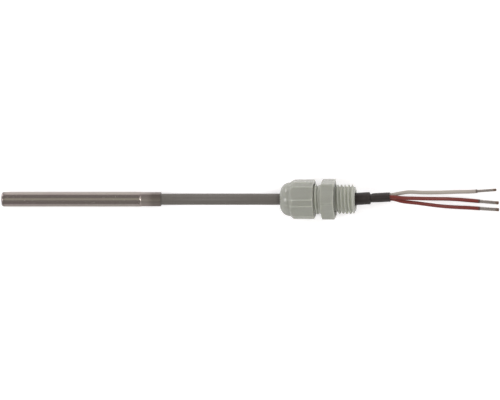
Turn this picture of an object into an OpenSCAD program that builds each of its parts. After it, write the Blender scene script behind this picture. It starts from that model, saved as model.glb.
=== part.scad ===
// Cable temperature probe: a crimped metal stem with the sensor in its tip, a length of
// cable, a moulded cable gland, and three bare leads out of a shrunk sleeve.
// It lies along +X on the surface z = 0, with the stem's tip at the -X end.

/* [Stem] */
// Outside diameter of the stem
stem_d = 6; // [5.8:0.1:7.5]
// Length of the stem, tip to rear end
stem_length = 65.4; // [60:0.1:140]
// Wall of the stem's tube
stem_wall = 0.4; // [0.3:0.05:0.5]
// Wall at the closed tip
tip_wall = 0.8; // [0.5:0.1:2]
// Radius round the tip's edge
tip_radius = 1.3; // [0.5:0.1:2]
// Length of the six crimped flats at the rear end
crimp_length = 7.2; // [5:0.1:9]
// Length over which each flat runs out into the round tube
crimp_ramp = 0.9; // [0.5:0.1:2]

/* [Sensor] */
// Distance from the stem's tip to the sensor chip
chip_inset = 3; // [2:0.1:5]
// Length of the sensor chip
chip_length = 2.3; // [1.5:0.1:4]
// Width of the sensor chip
chip_width = 2; // [1.2:0.1:2.4]
// Thickness of the sensor chip's ceramic plate
chip_thickness = 0.6; // [0.4:0.1:1]
// Diameter of the sensor's two wires
sensor_wire_d = 0.24; // [0.15:0.01:0.3]
// Length of the ceramic filling in the tip
tip_filling_length = 11; // [8:0.5:12]
// Distance from the tip to the white core's splice
white_splice_x = 16; // [15:0.5:18]
// Distance from the tip to the two red cores' splice
red_splice_x = 26.5; // [26.5:0.5:30]
// Length of each splice
splice_length = 5; // [4:0.5:6]
// Wall of the insulating sleeve round each splice
splice_sleeve_wall = 0.2; // [0.1:0.05:0.25]
// Length of the rear filling in front of the cable's jacket
rear_filling_length = 6; // [3:0.5:10]
// How far the cable's jacket reaches into the stem
jacket_depth = 15; // [12:0.5:20]

/* [Cable] */
// Diameter of the cable's jacket
cable_d = 4.6; // [4.4:0.1:4.9]
// Length of cable between the stem and the gland
cable_run = 49.6; // [40:0.1:400]
// Diameter of each insulated core
core_d = 1.5; // [1.3:0.05:1.55]
// Diameter of the strands inside each core
strand_d = 0.9; // [0.5:0.05:1]

/* [Gland body] */
// Distance across the flats of the body's hexagon
hex_flats = 15; // [14.6:0.1:17]
// Diameter over the hexagon's rounded corners
hex_corner_d = 16.9; // [16:0.1:17.2]
// Width of the hexagon along the gland
hex_width = 5.6; // [4:0.1:9]
// Angle by which the hexagon lies rolled from a corner straight up
gland_roll = 14.8; // [0:0.1:30]
// Diameter over the crests of the thread that screws into the housing
entry_crest_d = 11.94; // [11.8:0.02:12]
// Diameter over the crests of the thread that the cap nut screws onto
clamp_crest_d = 12.4; // [12.2:0.05:12.6]
// Pitch of both threads
thread_pitch = 1.5; // [1:0.25:1.5]
// Length of the threaded end that screws into the housing
entry_length = 8.4; // [6:0.1:15]
// Bore through the body
entry_bore_d = 6.6; // [6.2:0.1:7]
// Bore of the socket that takes the clamping insert
socket_d = 8.8; // [8.6:0.05:9]
// Length of the thread that the cap nut screws onto, end to hexagon
clamp_thread_length = 10.7; // [9:0.1:14]
// Diameter of the plain neck between that thread and the hexagon
neck_d = 11.4; // [11:0.1:12]
// Width of that neck
neck_width = 1.25; // [0.5:0.05:2]
// Depth of the groove in the hexagon's face round the threaded end
relief_depth = 0.3; // [0.2:0.05:0.6]

/* [Cap nut] */
// Length of the cap nut
cap_length = 14.1; // [13:0.1:18]
// Thread left in view between the cap nut and the hexagon
thread_in_view = 2.6; // [1:0.1:3]
// Distance across the cap nut's grip flats
cap_flats = 15; // [14.6:0.1:15.6]
// Diameter over the plain corners between the flats
cap_corner_d = 15.9; // [15.7:0.05:16.1]
// Diameter over the grip ribs
cap_rib_crest_d = 16.2; // [16:0.05:16.3]
// Diameter of the dome where it meets the shoulder
dome_d = 13.7; // [13:0.1:14]
// Radius of the dome
dome_radius = 4; // [3:0.1:4.4]
// Radius of the rounded shoulder behind the dome
shoulder_radius = 4.5; // [2:0.1:6]
// Diameter of the hole that the cable comes through
cap_hole_d = 6.4; // [5.6:0.1:6.6]
// Width of each grip rib
rib_d = 1; // [0.6:0.05:1.2]
// Angle by which the cap nut is turned from a corner straight up
cap_turn = 12.5; // [0:0.5:60]

/* [Clamping insert] */
// Outside diameter of the rubber seal
seal_d = 6.6; // [6.4:0.05:6.8]
// Length of the rubber seal
seal_length = 10; // [6:0.5:12]
// Number of clamping fingers
finger_count = 8; // [6:1:10]
// Slot between two fingers
finger_slot = 0.8; // [0.4:0.1:1]

/* [Sleeve] */
// Wall of the shrunk sleeve
sleeve_wall = 0.2; // [0.15:0.01:0.3]
// Length of the sleeve over the cable's jacket
sleeve_length = 8.4; // [5:0.1:12]
// Length of the sleeve's narrow neck over the three leads
sleeve_neck_length = 7.15; // [4:0.05:14]

/* [Leads] */
// Length of the white lead's bare end
white_bare_length = 7.7; // [5:0.1:10]
// Length of each red lead's bare end
red_bare_length = 7.7; // [5:0.1:10]
// Diameter of the white lead's tinned strands
white_bare_d = 1.1; // [0.8:0.05:1.3]
// Diameter of each red lead's tinned strands
red_bare_d = 1.3; // [0.8:0.05:1.4]

/* [Hidden] */

stem_colour = "#8d8781";
ceramic_colour = "#e9e4d8";
copper_colour = "#b87a50";
tin_colour = "#a39b97";
jacket_colour = "#6e6a64";
gland_colour = "#9ea197";
rubber_colour = "#2c2b2a";
sleeve_colour = "#3b3735";
white_colour = "#cfc9bf";
red_colour = "#8c3d33";
amber_colour = "#c8a25a";

// Clearances
press_gap = 0.02;
slip_gap = 0.05;
seat_gap = 0.1;
thread_gap = 0.1;

// Stem
stem_r = stem_d / 2;
stem_bore_r = stem_r - stem_wall;
cable_r = cable_d / 2;
crimp_flat_r = cable_r + stem_wall;
crimp_start = stem_length - crimp_length;
jacket_start = stem_length - jacket_depth;

// The cores' places round the stem's axis, white at the top
core_r = core_d / 2;
core_circle_r = 0.8 * core_d;
core_angles = [90, 210, 330];
strand_r = strand_d / 2;
splice_r = core_r;
splice_sleeve_r = core_r + slip_gap + splice_sleeve_wall;
splice_overlap = 1.5;
splice_strand_depth = 2.5;
strip_length = 2;
wire_r = sensor_wire_d / 2;

// Gland, with x measured from the cap nut's front face
gland_x = stem_length + cable_run;
gland_z = hex_corner_d / 2 * cos(gland_roll);
hex_start = cap_length + thread_in_view;
hex_end = hex_start + hex_width;
entry_end = hex_end + entry_length;
clamp_start = hex_start - clamp_thread_length;
thread_depth = 0.6134 * thread_pitch;
entry_crest_r = entry_crest_d / 2;
entry_root_r = entry_crest_r - thread_depth;
clamp_crest_r = clamp_crest_d / 2;
clamp_root_r = clamp_crest_r - thread_depth;
flank_width = thread_depth * tan(30);
crest_width = thread_pitch / 8;
runout_r = entry_root_r - seat_gap;
relief_r = entry_crest_r + 0.15;
hex_chamfer_r = hex_flats / 2 - 0.2;
hex_core_r = hex_chamfer_r - 0.5;
socket_end = hex_start + 0.1;
claw_root_r = socket_d / 2 - seat_gap;
claw_bore_r = seal_d / 2 + slip_gap;
flange_r = clamp_root_r;
front_wall = 1.4;
cone_length = 3.1;
cone_front_r = claw_bore_r + 0.7;
cone_back_r = flange_r + 0.1;

// Shrunk sleeve and leads, from a point inside the gland's threaded end
sleeve_inset = 1.7;
sleeve_swing = 3.3;
sleeve_r = cable_r + sleeve_wall;
lead_circle_r = core_r / sin(60);
lead_angles = [-30, 90, 210];
sleeve_neck_bore_r = lead_circle_r + core_r;
sleeve_neck_r = sleeve_neck_bore_r + 0.23;
sleeve_lap = 1;
step_length = 1.2;
jacket_reach = sleeve_length - sleeve_lap - 0.2;
sleeve_neck_start = sleeve_length - sleeve_lap + step_length;
sleeve_point = [gland_x + entry_end - sleeve_inset, 0, gland_z];
sleeve_dir = [cos(sleeve_swing), sin(sleeve_swing), 0];
sleeve_side = [-sin(sleeve_swing), cos(sleeve_swing), 0];
jacket_end = sleeve_point + jacket_reach * sleeve_dir;
mouth = sleeve_point + (sleeve_neck_start + sleeve_neck_length) * sleeve_dir;
sleeve_end_x = mouth[0] + sleeve_neck_r * sin(sleeve_swing);

// The origin is under the middle of the stem, gland and sleeve
middle_x = sleeve_end_x / 2;

// The cable's bend: share of the run from the stem, share of the rise to the gland
cable_bend = [[0.04, 0], [0.14, 0.04], [0.28, 0.22], [0.42, 0.48], [0.56, 0.74],
    [0.70, 0.94], [0.82, 1]];
cable_route = concat(
    [[jacket_start, 0, stem_r], [stem_length - 3, 0, stem_r]],
    [for (b = cable_bend)
        [stem_length + b[0] * cable_run, 0, stem_r + b[1] * (gland_z - stem_r)]],
    [[gland_x + cap_length, 0, gland_z], [gland_x + hex_end, 0, gland_z],
        sleeve_point, jacket_end]);

// Each lead's free route out of the sleeve: x and y from the mouth, z over the surface
white_route = [[3.5, 1.5, 7.6], [7.5, 2.1, 7.1], [13, 1.9, 5.9], [18, 1.9, 4.6],
    [23, 2.05, 3.1], [27.5, 2.2, 1.8], [31.5, 2.25, 1], [34.7, 2.45, 0.75]];
red_route_1 = [[5, -0.3, 8.4], [11, -0.5, 6.8], [17, -0.6, 5], [22.5, -0.7, 3.2],
    [27.5, -0.95, 1.8], [31.5, -1.3, 1], [35.7, -1.66, 0.75]];
red_route_2 = [[5, -1.7, 7.2], [11, -2.4, 6], [17, -3.2, 4.5], [22.5, -3.8, 3],
    [27.5, -4.1, 1.7], [31.5, -4.3, 1], [35.8, -4.58, 0.75]];

// Points of an arc, in [x, radius]
function arc(centre, radius, from, to, steps = 8) =
    [for (i = [0 : steps])
        let (a = from + (to - from) * i / steps)
        centre + radius * [cos(a), sin(a)]];

// A solid turned about the X axis from its [x, radius] outline
module turned(outline, sides = 96) {
    rotate([0, 90, 0])
        rotate_extrude($fn = sides)
            polygon([for (p = outline) [p[1], p[0]]]);
}

// A straight round bar along X
module bar(from, to, r, sides = 64) {
    translate([from, 0, 0])
        rotate([0, 90, 0])
            cylinder(h = to - from, r = r, $fn = sides);
}

// A hexagonal bar along X, with a corner straight up
module hex_bar(from, to, flats) {
    translate([from, 0, 0])
        rotate([0, 90, 0])
            cylinder(h = to - from, r = flats / 2 / cos(30), $fn = 6);
}

// A point on the smooth curve through four points, at t between the middle two
function between(a, b, c, d, t) =
    b + 0.5 * t * (c - a + t * (2 * a - 5 * b + 4 * c - d + t * (3 * (b - c) + d - a)));

// A route's points with one more between each pair
function smoothed(route) =
    let (last = len(route) - 1)
    concat([for (i = [0 : last - 1]) each [
        route[i],
        between(route[max(i - 1, 0)], route[i], route[i + 1], route[min(i + 2, last)], 0.5)
    ]], [route[last]]);

function unit(v) = v / norm(v);

// The corners of one ring of a tube, square to its route
function ring(route, i, r, sides) =
    let (last = len(route) - 1)
    let (along = unit(route[min(i + 1, last)] - route[max(i - 1, 0)]))
    let (side = unit(cross([0, 0, 1], along)))
    let (up = cross(along, side))
    [for (k = [0 : sides - 1])
        let (a = (k + 0.5) * 360 / sides)
        route[i] + r * (cos(a) * side + sin(a) * up)];

// A tube swept along a route
module tube_along(route, r, sides) {
    last = len(route) - 1;
    corners = [for (i = [0 : last]) each ring(route, i, r, sides)];
    walls = [for (i = [0 : last - 1]) for (k = [0 : sides - 1])
        let (j = (k + 1) % sides)
        [i * sides + k, (i + 1) * sides + k, (i + 1) * sides + j, i * sides + j]];
    start = [for (k = [0 : sides - 1]) k];
    end = [for (k = [sides - 1 : -1 : 0]) last * sides + k];
    polyhedron(points = corners, faces = concat([start], walls, [end]), convexity = 4);
}

// Places
module laid() {
    translate([-middle_x, 0, 0]) children();
}

module in_stem() {
    laid() translate([0, 0, stem_r]) children();
}

module in_gland(turn = 0) {
    laid() translate([gland_x, 0, gland_z]) rotate([turn, 0, 0]) children();
}

// The space outside six flats at the stem's rear end, with their run-outs
module outside_crimp(flat_r) {
    ramp_angle = atan((stem_r - crimp_flat_r) / crimp_ramp);
    for (k = [0 : 5])
        rotate([60 * k, 0, 0])
            translate([crimp_start, -stem_r, flat_r]) {
                cube([crimp_length + 1, stem_d, stem_r]);
                rotate([0, ramp_angle, 0])
                    translate([-crimp_ramp - stem_r, 0, 0])
                        cube([crimp_ramp + stem_r, stem_d, stem_r]);
            }
}

module stem_tube() {
    outside = concat(
        [[0, 0]],
        arc([tip_radius, stem_r - tip_radius], tip_radius, 180, 90),
        [[stem_length, stem_r], [stem_length, 0]]);
    color(stem_colour)
        in_stem()
            difference() {
                difference() {
                    turned(outside);
                    outside_crimp(crimp_flat_r);
                }
                difference() {
                    bar(tip_wall, stem_length + 1, stem_bore_r);
                    outside_crimp(crimp_flat_r - stem_wall);
                }
            }
}

// Ceramic round the chip, slotted for the chip and its wires
module tip_filling() {
    color(ceramic_colour)
        in_stem()
            difference() {
                bar(tip_wall, tip_wall + tip_filling_length, stem_bore_r - press_gap);
                translate([chip_inset - press_gap, -chip_width / 2 - press_gap, -0.55])
                    cube([tip_filling_length + 1, chip_width + 2 * press_gap, 1.1]);
            }
}

// A ceramic plate with its glass bead over the wires' joints
module sensor_chip() {
    color("white")
        in_stem()
            difference() {
                translate([chip_inset, 0, 0]) {
                    translate([0, -chip_width / 2, -chip_thickness / 2])
                        cube([chip_length, chip_width, chip_thickness]);
                    translate([chip_length * 0.6, -chip_width * 0.4, -chip_thickness / 2])
                        cube([chip_length * 0.4, chip_width * 0.8, chip_thickness * 1.3]);
                }
                for (side = [-1, 1])
                    translate([0, side * chip_width / 4, 0])
                        bar(chip_inset + chip_length - 0.6, chip_inset + chip_length + 1,
                            wire_r + press_gap, 16);
            }
}

module sensor_wire(side, route_end) {
    chip_end = chip_inset + chip_length;
    start = [[chip_end - 0.5, side * chip_width / 4, 0],
        [tip_wall + tip_filling_length, side * chip_width / 4, 0]];
    color(tin_colour) in_stem() tube_along(concat(start, route_end), wire_r, 8);
}

module sensor_wire_1() {
    height = core_circle_r;
    sensor_wire(1, [[white_splice_x - 1, 0.1, height - 0.1], [white_splice_x, 0, height],
        [white_splice_x + splice_length - splice_strand_depth, 0, height]]);
}

module sensor_wire_2() {
    height = core_circle_r * sin(core_angles[1]);
    sensor_wire(-1, [[white_splice_x + splice_length / 2, -0.3, height + 0.1],
        [red_splice_x - 1, 0, height], [red_splice_x, 0, height],
        [red_splice_x + splice_length - splice_strand_depth, 0, height]]);
}

// The holes in a splice: a fine one for the sensor's wire, wide ones for the strands
module splice_holes(x, strand_places, wire_place) {
    strand_x = x + splice_length - splice_strand_depth;
    translate(wire_place) bar(x - 1, strand_x + press_gap, wire_r + slip_gap, 16);
    for (place = strand_places)
        translate(place) bar(strand_x, x + splice_length + 1, strand_r + press_gap, 32);
}

function core_place(i) =
    [0, core_circle_r * cos(core_angles[i]), core_circle_r * sin(core_angles[i])];

module white_splice() {
    color(copper_colour)
        in_stem()
            difference() {
                translate(core_place(0))
                    bar(white_splice_x, white_splice_x + splice_length, splice_r, 32);
                splice_holes(white_splice_x, [core_place(0)], core_place(0));
            }
}

// A bar with two round edges that spans both red cores
module double_bar(from, to, r) {
    for (i = [1, 2]) translate(core_place(i)) bar(from, to, r, 32);
    translate([from, core_place(1)[1], core_place(1)[2] - r])
        cube([to - from, core_place(2)[1] - core_place(1)[1], 2 * r]);
}

module red_splice() {
    color(copper_colour)
        in_stem()
            difference() {
                double_bar(red_splice_x, red_splice_x + splice_length, splice_r);
                splice_holes(red_splice_x, [core_place(1), core_place(2)],
                    [0, 0, core_place(1)[2]]);
            }
}

module white_splice_sleeve() {
    from = white_splice_x - splice_overlap;
    to = white_splice_x + splice_length + strip_length + splice_overlap;
    color(amber_colour)
        in_stem()
            translate(core_place(0))
                difference() {
                    bar(from, to, splice_sleeve_r, 32);
                    bar(from - 1, to + 1, core_r + slip_gap, 32);
                }
}

module red_splice_sleeve() {
    from = red_splice_x - splice_overlap;
    to = red_splice_x + splice_length + strip_length + splice_overlap;
    color(amber_colour)
        in_stem()
            difference() {
                double_bar(from, to, splice_sleeve_r);
                double_bar(from - 1, to + 1, core_r + slip_gap);
            }
}

// The end of an insulated core between the jacket and its splice
module core_end(i, splice_x) {
    in_stem()
        translate(core_place(i))
            bar(splice_x + splice_length + strip_length, jacket_start, core_r, 32);
}

// The bare strands of a core, from its insulation into the splice
module strand_end(i, splice_x) {
    in_stem()
        translate(core_place(i))
            bar(splice_x + splice_length - splice_strand_depth + slip_gap,
                splice_x + splice_length + strip_length, strand_r, 32);
}

module white_core_end() {
    color(white_colour) core_end(0, white_splice_x);
}

module red_core_end_1() {
    color(red_colour) core_end(1, red_splice_x);
}

module red_core_end_2() {
    color(red_colour) core_end(2, red_splice_x);
}

module white_strand_end() {
    color(copper_colour) strand_end(0, white_splice_x);
}

module red_strand_end_1() {
    color(copper_colour) strand_end(1, red_splice_x);
}

module red_strand_end_2() {
    color(copper_colour) strand_end(2, red_splice_x);
}

// Resin that holds the cores and the jacket's end in the stem
module rear_filling() {
    color(amber_colour)
        in_stem()
            difference() {
                bar(jacket_start - rear_filling_length, crimp_start - 2 * crimp_ramp,
                    stem_bore_r - press_gap);
                bar(jacket_start, stem_length, cable_r + press_gap);
                for (i = [0 : 2])
                    translate(core_place(i)) bar(0, stem_length, core_r + press_gap, 32);
            }
}

module cable_jacket() {
    color(jacket_colour) laid() tube_along(smoothed(cable_route), cable_r, 12);
}

// Outline of a run of thread crests, as rings at the thread's own pitch and section
function crests(first, count, crest_r) =
    [for (i = [0 : count - 1])
        let (x = first + i * thread_pitch)
        each [
            [x - crest_width / 2 - flank_width, crest_r - thread_depth],
            [x - crest_width / 2, crest_r],
            [x + crest_width / 2, crest_r],
            [x + crest_width / 2 + flank_width, crest_r - thread_depth]
        ]];

// The body's threaded ends and bore, turned in one outline
module gland_turning() {
    neck_start = hex_start - neck_width;
    clamp_room = clamp_thread_length - neck_width - 0.5;
    clamp_count = floor(clamp_room / thread_pitch);
    clamp_first = neck_start - 0.75 - (clamp_count - 1) * thread_pitch;
    entry_count = floor((entry_length - 0.9) / thread_pitch);
    entry_first = hex_end + 1.3;
    core_end = hex_end - relief_depth - 0.2;
    outline = concat(
        [[clamp_start, socket_d / 2], [clamp_start, clamp_root_r - 0.25],
            [clamp_start + 0.25, clamp_root_r]],
        crests(clamp_first, clamp_count, clamp_crest_r),
        [[neck_start, clamp_root_r], [neck_start, neck_d / 2], [hex_start, neck_d / 2],
            [hex_start + 0.5, hex_core_r], [core_end, hex_core_r], [core_end, runout_r],
            [hex_end + 0.6, runout_r]],
        crests(entry_first, entry_count, entry_crest_r),
        [[entry_end - 0.4, entry_root_r], [entry_end, entry_root_r - 0.35],
            [entry_end, entry_bore_d / 2 + 0.3], [entry_end - 0.3, entry_bore_d / 2],
            [socket_end, entry_bore_d / 2], [socket_end, socket_d / 2]]);
    turned(outline);
}

module gland_body() {
    chamfer_depth = (hex_corner_d / 2 - hex_chamfer_r) * tan(30);
    corners = [[hex_start, 0], [hex_start, hex_chamfer_r],
        [hex_start + chamfer_depth, hex_corner_d / 2],
        [hex_end - chamfer_depth, hex_corner_d / 2],
        [hex_end, hex_chamfer_r], [hex_end, 0]];
    color(gland_colour)
        in_gland(gland_roll)
            union() {
                gland_turning();
                difference() {
                    intersection() {
                        hex_bar(hex_start, hex_end, hex_flats);
                        turned(corners);
                    }
                    bar(hex_start - 1, hex_end + 1, socket_d / 2 + 0.3);
                    bar(hex_end - relief_depth, hex_end + 1, relief_r);
                }
            }
}

// Outside of the cap nut: dome, rounded shoulder, collar and rim
function cap_outline() =
    let (rib_r = cap_rib_crest_d / 2)
    let (shoulder_angle = acos((shoulder_radius - rib_r + dome_d / 2) / shoulder_radius))
    let (shoulder_x = dome_radius + 0.3 + shoulder_radius * sin(shoulder_angle))
    concat(
        [[0, 0]],
        arc([dome_radius, dome_d / 2 - dome_radius], dome_radius, 180, 90),
        arc([shoulder_x, rib_r - shoulder_radius], shoulder_radius, 90 + shoulder_angle, 90),
        [[cap_length - 0.3, rib_r], [cap_length, rib_r - 0.3], [cap_length, 0]]);

// Inside of the cap nut: cable hole, cone that closes the claw, and threaded bore
function cap_cavity() =
    let (bore_x = front_wall + cone_length)
    [[-1, 0], [-1, cap_hole_d / 2], [front_wall, cap_hole_d / 2],
        [front_wall, cone_front_r], [bore_x, cone_back_r],
        [bore_x, flange_r + 0.2], [clamp_start - 0.7, flange_r + 0.2],
        [clamp_start - 0.7, clamp_crest_r + thread_gap],
        [cap_length - 0.5, clamp_crest_r + thread_gap],
        [cap_length + 0.5, clamp_crest_r + thread_gap + 1], [cap_length + 0.5, 0]];

// A grip rib: a round edge on a web that is rooted in the nut
module cap_rib() {
    edge_z = cap_rib_crest_d / 2 - rib_d / 2;
    root_z = cap_flats / 2 - 0.5;
    translate([0, 0, edge_z]) bar(dome_radius, cap_length, rib_d / 2, 24);
    translate([dome_radius, -rib_d / 2, root_z])
        cube([cap_length - dome_radius, rib_d, edge_z - root_z]);
}

module cap_nut() {
    flat_edge_angle = acos(cap_flats / cap_corner_d) + 1.3;
    color(gland_colour)
        in_gland(cap_turn)
            difference() {
                intersection() {
                    turned(cap_outline());
                    union() {
                        intersection() {
                            hex_bar(0, cap_length, cap_flats);
                            bar(0, cap_length, cap_corner_d / 2, 96);
                        }
                        for (flat = [30 : 60 : 330])
                            for (side = [-1, 1])
                                rotate([flat + side * flat_edge_angle, 0, 0]) cap_rib();
                    }
                }
                turned(cap_cavity());
            }
}

// Split ring of fingers that the cap nut's cone closes on the seal
module clamping_claw() {
    tip_x = front_wall + 0.2;
    cone_end = front_wall + cone_length;
    flange_start = cone_end - 0.1;
    flange_end = clamp_start - seat_gap;
    fall = (cone_back_r - cone_front_r) / cone_length;
    outline = [[tip_x, claw_bore_r], [tip_x, cone_front_r + 0.2 * fall - 0.12],
        [flange_start, cone_back_r - 0.1 * fall - 0.12], [flange_start, flange_r],
        [flange_end, flange_r], [flange_end, claw_root_r],
        [socket_end - seat_gap, claw_root_r], [socket_end - seat_gap, claw_bore_r]];
    color("#c4c6bf")
        in_gland()
            difference() {
                turned(outline);
                for (k = [0 : finger_count - 1])
                    rotate([k * 360 / finger_count, 0, 0])
                        translate([0, -finger_slot / 2, claw_bore_r - 0.5])
                            cube([flange_start - 0.3, finger_slot, 4]);
            }
}

module cable_seal() {
    from = front_wall + 0.6;
    to = from + seal_length;
    color(rubber_colour)
        in_gland()
            difference() {
                bar(from, to, seal_d / 2);
                bar(from - 1, to + 1, cable_r + seat_gap);
            }
}

// Black sleeve shrunk over the jacket's end and, narrower, over the three leads
module shrunk_sleeve() {
    step_x = sleeve_length - sleeve_lap;
    end_x = sleeve_neck_start + sleeve_neck_length;
    outline = [[-sleeve_lap, cable_r], [-sleeve_lap, sleeve_r], [step_x, sleeve_r],
        [sleeve_neck_start, sleeve_neck_r], [end_x, sleeve_neck_r],
        [end_x, sleeve_neck_bore_r], [sleeve_neck_start, sleeve_neck_bore_r],
        [step_x, cable_r]];
    color(sleeve_colour)
        laid()
            translate(sleeve_point)
                rotate([0, 0, sleeve_swing])
                    turned(outline, 64);
}

// A lead's place in the sleeve's neck, beside the other two
function lead_offset(i) =
    lead_circle_r * (cos(lead_angles[i]) * sleeve_side + sin(lead_angles[i]) * [0, 0, 1]);

function lead_route(i, free_route) =
    concat(
        [jacket_end + lead_offset(i), mouth + lead_offset(i)],
        [for (p = free_route) [mouth[0] + p[0], p[1] + mouth[1] - 0.1, p[2]]]);

module lead(i, free_route) {
    laid() tube_along(smoothed(lead_route(i, free_route)), core_r, 8);
}

// Tinned strands at a lead's end, with a rounded tip, resting on the surface
module bare_end(i, free_route, length, r) {
    route = smoothed(lead_route(i, free_route));
    start = route[len(route) - 1];
    last_step = start - route[len(route) - 2];
    swing = atan(last_step[1] / last_step[0]);
    fall = asin((start[2] - r) / length);
    outline = concat([[slip_gap, 0], [slip_gap, r]],
        arc([length - r / 2, r / 2], r / 2, 90, 0, 4), [[length, 0]]);
    color(tin_colour)
        laid()
            translate(start)
                rotate([0, fall, swing])
                    turned(outline, 32);
}

module white_lead() {
    color(white_colour) lead(0, white_route);
}

module red_lead_1() {
    color(red_colour) lead(1, red_route_1);
}

module red_lead_2() {
    color(red_colour) lead(2, red_route_2);
}

module white_bare_end() {
    bare_end(0, white_route, white_bare_length, white_bare_d / 2);
}

module red_bare_end_1() {
    bare_end(1, red_route_1, red_bare_length, red_bare_d / 2);
}

module red_bare_end_2() {
    bare_end(2, red_route_2, red_bare_length, red_bare_d / 2);
}

stem_tube();
tip_filling();
sensor_chip();
sensor_wire_1();
sensor_wire_2();
white_splice();
red_splice();
white_splice_sleeve();
red_splice_sleeve();
white_core_end();
red_core_end_1();
red_core_end_2();
white_strand_end();
red_strand_end_1();
red_strand_end_2();
rear_filling();
cable_jacket();
cap_nut();
clamping_claw();
cable_seal();
gland_body();
shrunk_sleeve();
white_lead();
red_lead_1();
red_lead_2();
white_bare_end();
red_bare_end_1();
red_bare_end_2();
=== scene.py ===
"""Cable temperature probe: the finished look of the crimped stem, its cable, the moulded
cable gland and the three tinned leads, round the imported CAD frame."""

import math

import bpy
import numpy as np
from mathutils import Matrix, Vector


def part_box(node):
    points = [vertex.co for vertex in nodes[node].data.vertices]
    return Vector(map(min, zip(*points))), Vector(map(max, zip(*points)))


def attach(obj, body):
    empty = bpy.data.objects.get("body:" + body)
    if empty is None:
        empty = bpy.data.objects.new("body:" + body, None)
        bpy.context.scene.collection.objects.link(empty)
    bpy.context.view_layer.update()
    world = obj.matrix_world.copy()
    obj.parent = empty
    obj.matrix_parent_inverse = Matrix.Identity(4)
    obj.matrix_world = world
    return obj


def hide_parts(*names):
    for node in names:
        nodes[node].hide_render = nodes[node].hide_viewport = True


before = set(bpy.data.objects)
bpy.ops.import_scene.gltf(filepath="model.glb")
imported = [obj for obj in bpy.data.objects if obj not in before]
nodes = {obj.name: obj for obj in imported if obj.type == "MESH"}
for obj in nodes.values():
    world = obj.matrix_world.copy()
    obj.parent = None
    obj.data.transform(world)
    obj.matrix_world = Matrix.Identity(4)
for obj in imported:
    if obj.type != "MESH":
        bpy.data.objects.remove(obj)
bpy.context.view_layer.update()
scene = bpy.context.scene

MM = 0.001

# ---------------------------------------- sizes, in millimetres
# stem and cable
stem_r = 3.0
stem_length = 65.4
stem_wall = 0.4
tip_wall = 0.8
tip_radius = 0.9
crimp_length = 7.7
crimp_ramp = 1.2
crimp_turn = -12
jacket_depth = 15.0
cable_r = 2.3
cable_run = 49.6
# cable gland
hex_flats = 15.0
hex_corner_d = 16.9
gland_roll = 14.8
pitch = 1.5
thread_depth = 0.6134 * pitch
entry_root_r = 11.94 / 2 - thread_depth
clamp_root_r = 12.4 / 2 - thread_depth
cap_length = 14.1
cap_flats = 15.0
cap_corner_d = 15.9
cap_rib_d = 16.2
cap_rib_width = 1.0
cap_turn = 12.5
clamp_start = 6.0
hex_start = cap_length + 2.6
hex_end = hex_start + 5.6
entry_end = hex_end + 8.4
# shrunk sleeve, along its own line
sleeve_inset = 1.7
sleeve_swing = math.radians(3.3)
jacket_reach = 7.2
sleeve_step_x = 7.4
neck_start_x = 8.6
neck_length = 7.15
# leads
lead_r = 0.75
bare_length = 7.7
bare_gap = 0.05
white_bare_r = 0.55
red_bare_r = 0.65

# The CAD model is laid along X: millimetres from the stem's tip become frame metres
tip_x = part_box("stem_tube")[0][0]
gland_x = (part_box("cap_nut")[0][0] - tip_x) / MM
gland_z = hex_corner_d / 2 * math.cos(math.radians(gland_roll))


def laid(point):
    """A point in millimetres from the stem's tip, as a frame point in metres."""
    return Vector((tip_x + point[0] * MM, point[1] * MM, point[2] * MM))


# ---------------------------------------- camera
def set_camera():
    """Looks straight down, leaning a little towards the leads, through a long lens."""
    lean = math.radians(7.5)
    lens, sensor_width, seen_width = 800.0, 36.0, 203.0 * MM
    distance = seen_width * lens / sensor_width
    data = bpy.data.cameras.new("view_from_above")
    data.lens, data.sensor_width = lens, sensor_width
    data.clip_start, data.clip_end = 0.1, 3 * distance
    camera = bpy.data.objects.new("view_from_above", data)
    away = Vector((math.sin(lean), 0, math.cos(lean)))
    camera.location = laid((101.85, -0.32, stem_r)) + away * distance
    camera.rotation_euler = (0, lean, 0)
    scene.collection.objects.link(camera)
    scene.camera = camera


set_camera()


# ---------------------------------------- node helpers
class Number:
    """A number in a node tree: arithmetic with it adds Math nodes to that tree."""

    def __init__(self, tree, socket):
        self.tree = tree
        self.socket = socket

    def __add__(self, other):
        return worked_out("ADD", self, other)

    def __sub__(self, other):
        return worked_out("SUBTRACT", self, other)

    def __mul__(self, other):
        return worked_out("MULTIPLY", self, other)

    def __truediv__(self, other):
        return worked_out("DIVIDE", self, other)

    def __abs__(self):
        return worked_out("ABSOLUTE", self)


def give(tree, socket, value):
    """Links a Number or a socket to a node's input, or sets a plain value on it."""
    if isinstance(value, Number):
        value = value.socket
    if isinstance(value, bpy.types.NodeSocket):
        tree.links.new(value, socket)
    else:
        socket.default_value = value


def node(tree, kind, inputs=None, **properties):
    """A node with its properties set and its inputs given."""
    made = tree.nodes.new(kind)
    for key, value in properties.items():
        setattr(made, key, value)
    for key, value in (inputs or {}).items():
        give(tree, made.inputs[key], value)
    return made


def worked_out(operation, *values):
    """The result of a Math node. At least one of the values is a Number."""
    tree = next(value.tree for value in values if isinstance(value, Number))
    made = node(tree, "ShaderNodeMath", dict(enumerate(values)), operation=operation)
    return Number(tree, made.outputs[0])


def between(value, low, high, to_low=0.0, to_high=1.0, interpolation="LINEAR"):
    """value, taken from low..high to to_low..to_high and held there."""
    made = node(value.tree, "ShaderNodeMapRange", {
        "Value": value, "From Min": low, "From Max": high, "To Min": to_low,
        "To Max": to_high}, interpolation_type=interpolation)
    return Number(value.tree, made.outputs["Result"])


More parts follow.
